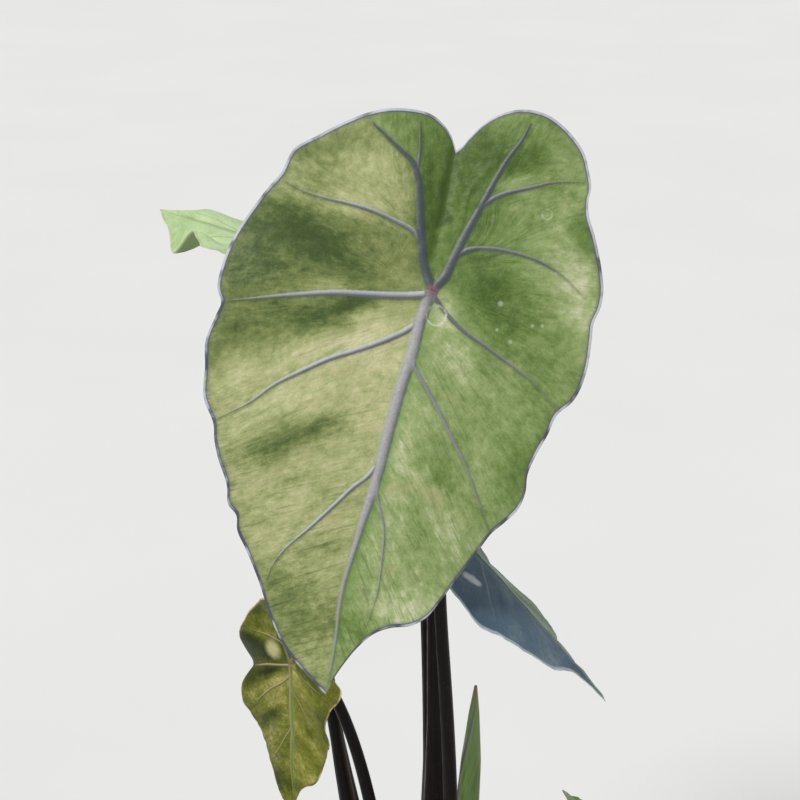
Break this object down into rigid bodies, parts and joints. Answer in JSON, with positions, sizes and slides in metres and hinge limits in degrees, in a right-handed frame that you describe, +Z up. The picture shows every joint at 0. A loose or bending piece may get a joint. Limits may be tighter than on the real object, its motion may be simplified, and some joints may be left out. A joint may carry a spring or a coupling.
{
  "type": "potted black stem colocasia",
  "caption": "Potted elephant-ear plant with heart-shaped peltate leaves on near-black leaf stalks, rooted in soil in a round clay pot.",
  "frame": {"origin": "centre of the pot's flat foot", "axes": "+Z up, the upper face of the large front leaf towards -Y"},
  "size_m": [0.2765, 0.3117, 0.642],
  "materials": {
    "clay": "matte",
    "soil": "matte",
    "corm": "matte",
    "stalk": "satin",
    "leaf": "satin",
    "leaf_blue": "satin",
    "leaf_pale": "satin",
    "leaf_old": "satin"
  },
  "bodies": {
    "root": {"pot": "clay", "soil": "soil", "corm": "corm", "new_leaf": "leaf", "front_petiole": "stalk", "front_blade": "leaf", "right_petiole": "stalk", "right_blade": "leaf_blue", "left_petiole": "stalk", "left_blade": "leaf_pale", "back_petiole": "stalk", "back_blade": "leaf", "old_petiole": "stalk", "old_blade": "leaf_old", "offset_one_petiole": "stalk", "offset_one_blade": "leaf", "offset_two_petiole": "stalk", "offset_two_blade": "leaf"}
  },
  "joints": []
}
